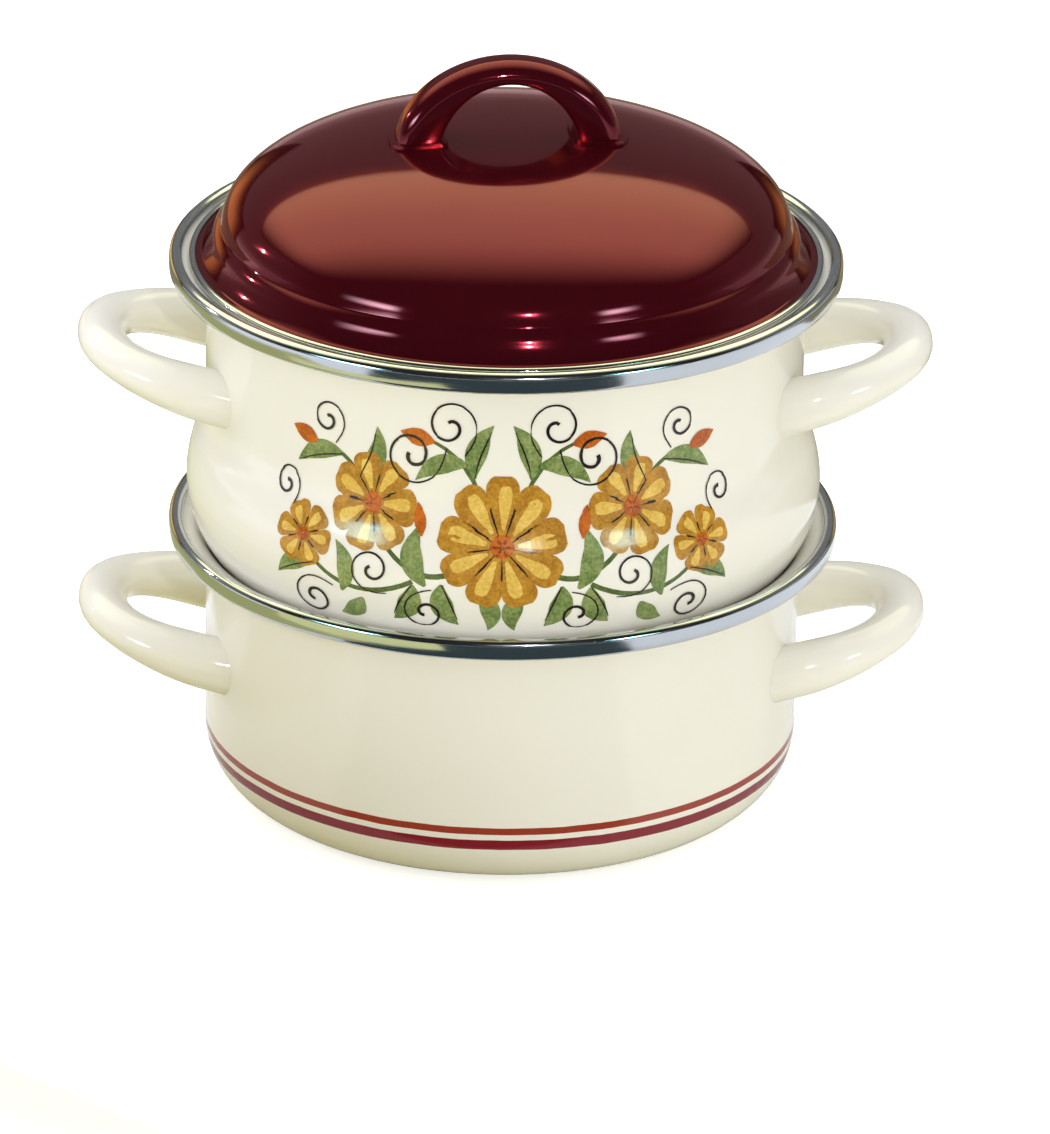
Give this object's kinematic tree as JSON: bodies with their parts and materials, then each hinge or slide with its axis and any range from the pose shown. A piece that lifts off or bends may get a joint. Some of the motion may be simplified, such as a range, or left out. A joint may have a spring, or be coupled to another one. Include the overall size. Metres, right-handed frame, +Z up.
{
  "type": "potato steamer pot",
  "caption": "Enamelled stovetop steamer: a water pot, a bellied pot with a perforated base that hangs in its flared rim, and a domed lid with an arch handle, each lifting off the one below.",
  "frame": {"origin": "on the table, under the axis that the two pots and the lid share", "axes": "+Z up along the shared axis, +X towards the right handles, -Y towards the viewer"},
  "size_m": [0.257, 0.2022, 0.2336],
  "materials": {
    "cream_enamel": "glossy vitreous enamel on sheet steel",
    "burgundy_enamel": "deep glossy vitreous enamel on sheet steel",
    "rim_steel": "polished stainless steel"
  },
  "bodies": {
    "lower_pot": {"lower_pot_body": "cream_enamel", "lower_pot_rim": "rim_steel", "lower_pot_handle_right": "cream_enamel", "lower_pot_handle_left": "cream_enamel"},
    "steamer_pot": {"steamer_body": "cream_enamel", "steamer_rim": "rim_steel", "steamer_handle_right": "cream_enamel", "steamer_handle_left": "cream_enamel"},
    "lid": {"lid_dome": "burgundy_enamel", "lid_rim": "rim_steel", "lid_handle": "burgundy_enamel"}
  },
  "joints": [
    {"name": "steamer_lift", "type": "slide", "parent": "lower_pot", "child": "steamer_pot", "axis": [0, 0, 1], "range_m": [0, 0.12]},
    {"name": "lid_lift", "type": "slide", "parent": "steamer_pot", "child": "lid", "axis": [0, 0, 1], "range_m": [0, 0.1]}
  ]
}
